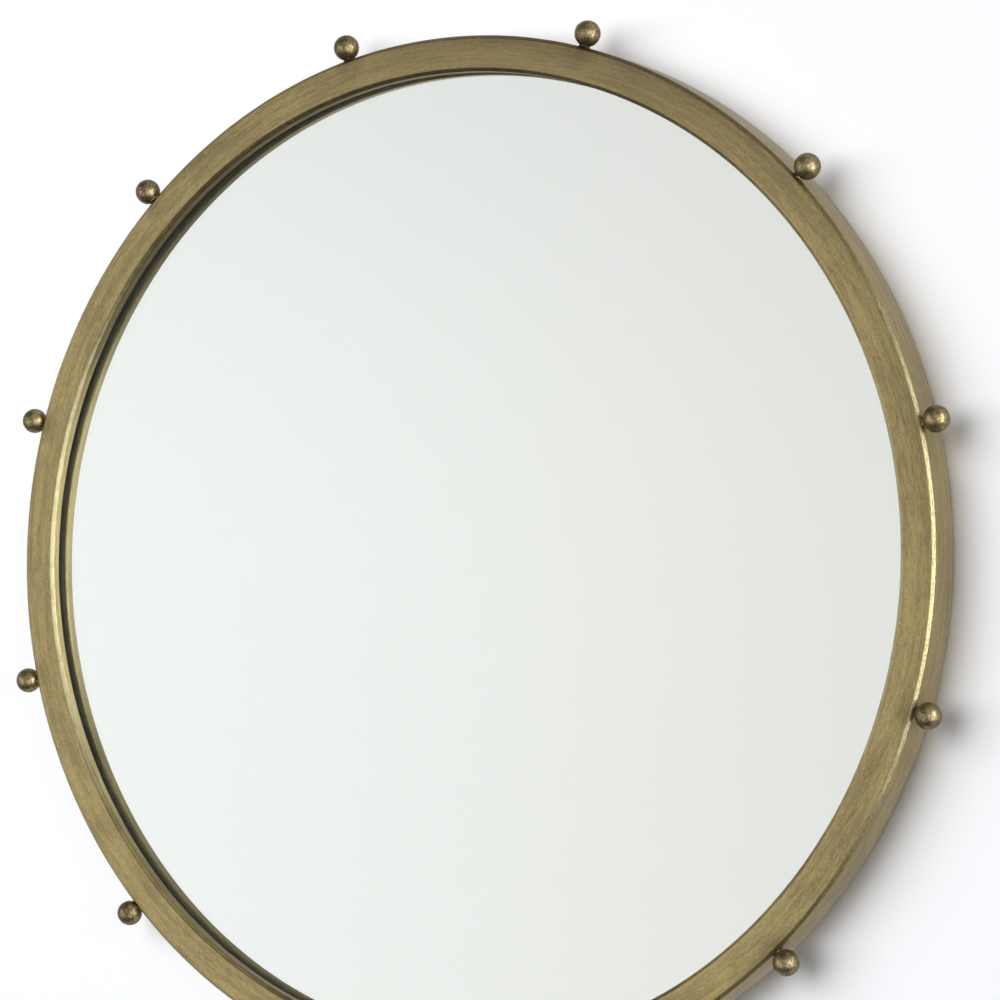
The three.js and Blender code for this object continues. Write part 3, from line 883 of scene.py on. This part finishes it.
# %% [markdown]
# The back is 5 mm hardboard: pressed brown fibre, darker in patches, with pale fibres, dark flecks and
# the faint mesh of the press. The fibres are noise on stretched coordinates, and the mesh is a product
# of two sines, which is lighter than modelling it and stays the same at any distance.

# %% Hardboard
BOARD_TAN = (0.250, 0.158, 0.088, 1)
BOARD_DARK = (0.215, 0.134, 0.073, 1)
BOARD_PALE = (0.360, 0.245, 0.148, 1)
BOARD_FLECK = (0.110, 0.066, 0.036, 1)
BOARD_ROUND = 0.5 * MM
PRESS_MESH = 1.1 * MM


def hardboard():
    material, nodes, place = new_finish("hardboard")
    blotch = nodes.grain(place, 0.13, 3, 0.5)
    stretched = nodes.add(
        "ShaderNodeMapping", {}, {"Vector": place, "Rotation": (0, 0.4, 0), "Scale": (1, 1, 5)},
    )
    fibres = nodes.grain(stretched, 0.0042, 3, 0.7, 1.2)
    flecks = nodes.grain(place, 0.0011, 2, 0.5)
    mesh_x = (nodes.part(place, "X") * (math.pi / PRESS_MESH)).math("SINE")
    mesh_z = (nodes.part(place, "Z") * (math.pi / PRESS_MESH)).math("SINE")
    weave = mesh_x * mesh_z
    colour = nodes.blend(nodes.smooth(blotch, 0.35, 0.68), BOARD_DARK, BOARD_TAN)
    colour = nodes.blend(nodes.smooth(fibres, 0.50, 0.70) * 0.6, colour, BOARD_PALE)
    colour = nodes.blend(nodes.smooth(flecks, 0.54, 0.66) * 0.6, colour, BOARD_FLECK)
    height = 0.5 * fibres + 0.2 * weave
    bump = nodes.relief(height, 0.6, 0.00015)
    return close_finish(material, nodes, {
        "Base Color": colour, "Roughness": 0.62 + 0.2 * blotch, "Normal": bump,
    })


board = disc(board_high.x, board_low.y, board_high.y, BOARD_ROUND)
make_piece("back_board", board, hardboard(), ["backing_board"])

# %% [markdown]
# ## Tabs and hanger brackets
#
# Six angle tabs hold the board and two wider strips carry the hangers. They are sheared and folded
# from sheet steel, so their edges are broken rather than sharp, and each is welded to the band along
# its foot. They could be folded again from a flat sheet, but the model has their exact shape in loose
# triangles: a copy is merged, its flat faces are joined again, and its edges are bevelled.

# %% Welded steel
STEEL_BRASS = (0.205, 0.158, 0.088, 1)
STEEL_BROWN = (0.105, 0.078, 0.050, 1)
STEEL_GREY = (0.240, 0.225, 0.200, 1)


def welded_steel():
    material, nodes, place = new_finish("welded_steel")
    cloud = nodes.grain(place, 0.018, 4, 0.6, 0.5)
    scuffs = nodes.grain(place, 0.0013, 3, 0.6)
    colour = nodes.blend(nodes.smooth(cloud, 0.38, 0.62), STEEL_BROWN, STEEL_BRASS)
    colour = nodes.blend(nodes.smooth(scuffs, 0.60, 0.72) * 0.6, colour, STEEL_GREY)
    bump = nodes.relief(scuffs, 0.4, 0.0001)
    return close_finish(material, nodes, {
        "Base Color": colour, "Metallic": 1.0, "Roughness": 0.42 + 0.25 * cloud, "Normal": bump,
    })


steel = welded_steel()
TAB_COUNT = 6
SIDES = ("left", "right")
TAB_ROUND = 0.3 * MM
BRACKET_ROUND = 0.35 * MM
MODEL_MERGE = 2e-6
FLAT_WITHIN = 1
FOLD_SHARP = 30


def softened(node, edge, sharp=FOLD_SHARP):
    """A merged copy of a node of the model, with its sharp edges bevelled."""
    shape = bmesh.new()
    shape.from_mesh(frame["nodes"][node].data)
    bmesh.ops.remove_doubles(shape, verts=shape.verts[:], dist=MODEL_MERGE)
    bmesh.ops.dissolve_limit(
        shape, angle_limit=math.radians(FLAT_WITHIN), verts=shape.verts[:], edges=shape.edges[:],
    )
    bmesh.ops.recalc_face_normals(shape, faces=shape.faces[:])
    keen = [e for e in shape.edges if e.is_manifold and e.calc_face_angle() > math.radians(sharp)]
    bmesh.ops.bevel(
        shape, geom=keen, offset=edge, offset_type="OFFSET", segments=2, profile=0.5,
        affect="EDGES", material=-1,
    )
    return shape


for number in range(1, TAB_COUNT + 1):
    node = "board_tab_%02d" % number
    make_piece("tab_%02d" % number, softened(node, TAB_ROUND), steel, [node])
for side in SIDES:
    node = "hanger_bracket_" + side
    make_piece("bracket_" + side, softened(node, BRACKET_ROUND), steel, [node])

# %% [markdown]
# ## Hangers, screws and feet
#
# The straps, D rings and screws are bought parts, zinc plated and passivated, with a faint yellow and
# blue bloom over grey. Two slow noises do for both: one for the bloom, one for the dull stains.

# %% Zinc plate
ZINC_GREY = (0.560, 0.565, 0.560, 1)
ZINC_YELLOW = (0.600, 0.570, 0.440, 1)
ZINC_BLUE = (0.470, 0.520, 0.570, 1)
ZINC_DULL = (0.250, 0.245, 0.235, 1)


def zinc_plate():
    material, nodes, place = new_finish("zinc_plate")
    bloom = nodes.grain(place, 0.009, 2, 0.5, 0.8)
    stain = nodes.grain(place, 0.004, 4, 0.65)
    colour = nodes.blend(nodes.smooth(bloom, 0.40, 0.60), ZINC_BLUE, ZINC_YELLOW)
    colour = nodes.blend(0.45, ZINC_GREY, colour)
    colour = nodes.blend(nodes.smooth(stain, 0.56, 0.74) * 0.7, colour, ZINC_DULL)
    bump = nodes.relief(stain, 0.2, 0.00005)
    return close_finish(material, nodes, {
        "Base Color": colour, "Metallic": 1.0, "Roughness": 0.26 + 0.22 * stain, "Normal": bump,
    })


zinc = zinc_plate()

# %% [markdown]
# Each D ring is a length of wire bent to shape, and its ends meet in the bar inside the strap's eye.
# A curve with a round bevel could be made a mesh. Here a circle is pulled and bent step by step, as a
# wire bender does it, so each bend has its true radius. Each ring rides on its own body.

# %% D rings
WIRE_RADIUS = 1.5 * MM
WIRE_SIDES = 16
RING_HALF_WIDTH = 12 * MM
RING_REACH = 20 * MM
RING_BEND = 3 * MM
RING_SPLIT = 0.8 * MM
BEND_STEPS = 6
BOW_STEPS = 24
STRAP_ROUND = 0.15 * MM
STRAP_SHARP = 40


def d_ring_shape():
    """The wire starts beside the split, runs along the bar, round the bow and back."""
    straight = RING_HALF_WIDTH - RING_BEND
    side = RING_REACH - RING_HALF_WIDTH
    shape = bmesh.new()
    bmesh.ops.create_circle(shape, segments=WIRE_SIDES, radius=WIRE_RADIUS, cap_ends=False)
    bmesh.ops.transform(
        shape, matrix=Matrix.Translation((RING_SPLIT / 2, 0, 0)) @ turned(90, "Y"), verts=shape.verts[:],
    )
    rim = shape.edges[:]

    def pull(move):
        nonlocal rim
        made = bmesh.ops.extrude_edge_only(shape, edges=rim)["geom"]
        rim = [part for part in made if isinstance(part, bmesh.types.BMEdge)]
        rim_verts = [part for part in made if isinstance(part, bmesh.types.BMVert)]
        rim = [edge for edge in rim if all(vert in rim_verts for vert in edge.verts)]
        bmesh.ops.translate(shape, vec=move, verts=rim_verts)

    def bend(centre, angle, steps):
        nonlocal rim
        verts = list({vert for edge in rim for vert in edge.verts})
        made = bmesh.ops.spin(
            shape, geom=verts + rim, cent=centre, axis=(0, 1, 0), dvec=(0, 0, 0),
            angle=math.radians(angle), steps=steps,
        )["geom_last"]
        rim = [part for part in made if isinstance(part, bmesh.types.BMEdge)]

    pull((straight - RING_SPLIT / 2, 0, 0))
    bend((straight, 0, RING_BEND), -90, BEND_STEPS)
    pull((0, 0, side - RING_BEND))
    bend((0, 0, side), -180, BOW_STEPS)
    pull((0, 0, RING_BEND - side))
    bend((-straight, 0, RING_BEND), -90, BEND_STEPS)
    pull((straight - RING_SPLIT / 2, 0, 0))
    bmesh.ops.remove_doubles(shape, verts=shape.verts[:], dist=MERGE)
    bmesh.ops.holes_fill(shape, edges=[edge for edge in shape.edges if edge.is_boundary], sides=WIRE_SIDES)
    bmesh.ops.recalc_face_normals(shape, faces=shape.faces[:])
    return shape


hinges = {joint["child"]: joint for joint in frame["joints"]}
for side in SIDES:
    eye = Vector(hinges[side + "_ring"]["pos_m"])
    strap_low, strap_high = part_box("hanger_strap_" + side)
    lean = math.asin((eye.y - strap_low.y - WIRE_RADIUS) / RING_REACH)
    loop = d_ring_shape()
    bmesh.ops.transform(
        loop, matrix=Matrix.Translation(eye) @ turned(math.degrees(lean), "X"), verts=loop.verts[:],
    )
    make_piece("ring_" + side, loop, zinc, ["d_ring_" + side], body=side + "_ring")
    node = "hanger_strap_" + side
    make_piece("strap_" + side, softened(node, STRAP_ROUND, STRAP_SHARP), zinc, [node])

# %% [markdown]
# A pan-head screw is a turned outline with a cross pressed into its head. The cross is cut into the
# head's faces by four pairs of planes, and the faces inside it are pushed in with slanting walls.
# Each screw is made at the origin, as long as its node, and carried to its place with a turn of its
# own, because no two crosses stop at the same angle.

# %% Screws
SCREW_STEPS = 28
SCREW_SHARP = 30
SHANK_SHARE = 0.47
SLOT_SHARE = 0.13
CROSS_SHARE = 0.56
CROSS_TAPER = 0.62
CROSS_DEPTH = 0.55


def screw_shape(head, height, shank, length):
    """A screw on the Y axis with its head's underside at y = 0 and its head towards +Y."""
    shape = spin_round(outline([
        (0, height, 0),
        (head * 0.50, height * 0.97, 0),
        (head * 0.84, height * 0.72, 0),
        (head, height * 0.30, 0.25 * MM),
        (head, 0, 0.15 * MM),
        (shank, 0, 0),
        (shank, -length * 0.82, 0),
        (shank * 0.35, -length, 0),
        (0, -length, 0),
    ], closed=False, segments=2), SCREW_STEPS)
    slot_half = head * SLOT_SHARE
    arm = head * CROSS_SHARE
    for reach in (slot_half, arm):
        for way in (Vector((1, 0, 0)), Vector((0, 0, 1))):
            for sign in (1, -1):
                top = [f for f in shape.faces if f.normal.y > 0.5 and f.calc_center_median().y > 0]
                edges = list({edge for face in top for edge in face.edges})
                verts = list({vert for face in top for vert in face.verts})
                bmesh.ops.bisect_plane(
                    shape, geom=top + edges + verts, dist=TURNED_MERGE,
                    plane_co=way * (sign * reach), plane_no=way,
                )
    shape.normal_update()
    cross = []
    for face in shape.faces:
        middle = face.calc_center_median()
        near = min(abs(middle.x), abs(middle.z))
        far = max(abs(middle.x), abs(middle.z))
        if face.normal.y > 0.5 and middle.y > 0 and near < slot_half and far < arm:
            cross.append(face)
    sunk = bmesh.ops.extrude_face_region(shape, geom=cross)["geom"]
    verts = [part for part in sunk if isinstance(part, bmesh.types.BMVert)]
    bmesh.ops.delete(shape, geom=cross, context="FACES_KEEP_BOUNDARY")
    bmesh.ops.scale(shape, vec=(CROSS_TAPER, 1, CROSS_TAPER), verts=verts)
    bmesh.ops.translate(shape, vec=(0, -height * CROSS_DEPTH, 0), verts=verts)
    bmesh.ops.recalc_face_normals(shape, faces=shape.faces[:])
    return shape


def place_screws(nodes_wanted, head, under_head, turn):
    for number, node in enumerate(nodes_wanted, 1):
        low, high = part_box(node)
        shape = screw_shape(head, high.y - under_head, head * SHANK_SHARE, under_head - low.y)
        place = Matrix.Translation(((low.x + high.x) / 2, under_head, (low.z + high.z) / 2))
        bmesh.ops.transform(shape, matrix=place @ turned(turn * number, "Y"), verts=shape.verts[:])
        make_piece("pan_head_" + node, shape, zinc, [node], sharp=SCREW_SHARP)


FOOT_COUNT = 4
SMALL_HEAD = 3.6 * MM
LARGE_HEAD = 4.0 * MM
ON_TABS = -8.5 * MM
ON_STRAPS_AND_FEET = -6.5 * MM
tab_screws = ["tab_screw_%02d" % number for number in range(1, TAB_COUNT + 1)]
foot_screws = ["foot_screw_%02d" % number for number in range(1, FOOT_COUNT + 1)]
hanger_screws = ["hanger_screw_%s_%d" % (side, number) for side in SIDES for number in (1, 2)]
place_screws(tab_screws, SMALL_HEAD, ON_TABS, 37)
place_screws(foot_screws, SMALL_HEAD, ON_STRAPS_AND_FEET, 53)
place_screws(hanger_screws, LARGE_HEAD, ON_STRAPS_AND_FEET, 29)

# %% [markdown]
# The feet are moulded rubber buttons with a draft, a well for the screw and a rounded rim that bears
# on the wall. Each is a turned outline, so the well needs no cutting.

# %% Rubber feet
FOOT_STEPS = 48
FOOT_BORE = 1.9 * MM
FOOT_WELL = 4.4 * MM
FOOT_WELL_DEPTH = 6.8 * MM

for number in range(1, FOOT_COUNT + 1):
    node = "rubber_foot_%02d" % number
    low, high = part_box(node)
    foot = spin_round(outline([
        (FOOT_BORE, low.y, 0),
        (9.0 * MM, low.y, 0.3 * MM),
        (7.5 * MM, high.y - 0.8 * MM, 0.4 * MM),
        (6.7 * MM, high.y, 0.4 * MM),
        (FOOT_WELL, high.y, 0.4 * MM),
        (FOOT_WELL, high.y - FOOT_WELL_DEPTH, 0.3 * MM),
        (FOOT_BORE, high.y - FOOT_WELL_DEPTH, 0.2 * MM),
    ], segments=3), FOOT_STEPS)
    middle = ((low.x + high.x) / 2, 0, (low.z + high.z) / 2)
    bmesh.ops.translate(foot, vec=middle, verts=foot.verts[:])
    make_piece("foot_%02d" % number, foot, rubber, [node])

# %% [markdown]
# A run of weld is a short bar laid in the corner between two steels, with a ripple for each drop. It
# is a circle spun through a few degrees round the ring's axis, then swollen and thinned along its
# length. Separate drops would look the same and need joining.

# %% Welds inside the band
WELD_BAR = 1.3 * MM
WELD_PITCH = 2.2 * MM
WELD_STEPS_PER_DEGREE = 16
WELD_SUNK = 0.4 * MM
WELD_SIDES = 10
WELD_LUMP = 4 * MM
WELD_DROPS = 0.16
WELD_LUMPS = 0.25
WELD_TAPER = 0.18
WELD_THINNED = 0.75
TAB_WELD_HALF_ANGLE = 1.45
BRACKET_WELD_HALF_ANGLE = 2.2


def weld_run(middle_angle, half_angle, y):
    shape = bmesh.new()
    spine_radius = BAND_INSIDE - WELD_SUNK
    bmesh.ops.create_circle(shape, segments=WELD_SIDES, radius=WELD_BAR)
    bmesh.ops.translate(shape, vec=(spine_radius, y, 0), verts=shape.verts[:])
    bmesh.ops.transform(shape, matrix=turned(half_angle, "Y"), verts=shape.verts[:])
    bmesh.ops.spin(
        shape, geom=shape.verts[:] + shape.edges[:], cent=(0, 0, 0), axis=(0, 1, 0), dvec=(0, 0, 0),
        angle=math.radians(-2 * half_angle), steps=int(2 * half_angle * WELD_STEPS_PER_DEGREE),
    )
    bmesh.ops.holes_fill(shape, edges=[edge for edge in shape.edges if edge.is_boundary], sides=0)
    bmesh.ops.recalc_face_normals(shape, faces=shape.faces[:])
    for vert in shape.verts:
        angle = math.atan2(-vert.co.z, vert.co.x)
        spine = Vector((math.cos(angle) * spine_radius, y, -math.sin(angle) * spine_radius))
        drops = WELD_DROPS * math.sin(2 * math.pi * angle * BAND_INSIDE / WELD_PITCH)
        lumps = WELD_LUMPS * noise.noise(vert.co / WELD_LUMP)
        past = abs(math.degrees(angle)) / half_angle - (1 - WELD_TAPER)
        end = 1 - WELD_THINNED * max(0, past) / WELD_TAPER
        vert.co = spine + (vert.co - spine) * (1 + drops + lumps) * end
    bmesh.ops.transform(shape, matrix=turned(-middle_angle, "Y"), verts=shape.verts[:])
    return shape


for number in range(1, TAB_COUNT + 1):
    low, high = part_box("board_tab_%02d" % number)
    middle = (low + high) / 2
    run = weld_run(math.degrees(math.atan2(middle.z, middle.x)), TAB_WELD_HALF_ANGLE, high.y)
    make_piece("tab_weld_%02d" % number, run, weld, sharp=WELD_SHARP)
for side in SIDES:
    low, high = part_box("hanger_bracket_" + side)
    middle = (low + high) / 2
    at_band = math.degrees(math.acos(middle.x / BAND_INSIDE))
    run = weld_run(at_band, BRACKET_WELD_HALF_ANGLE, high.y)
    make_piece("bracket_weld_" + side, run, weld, sharp=WELD_SHARP)
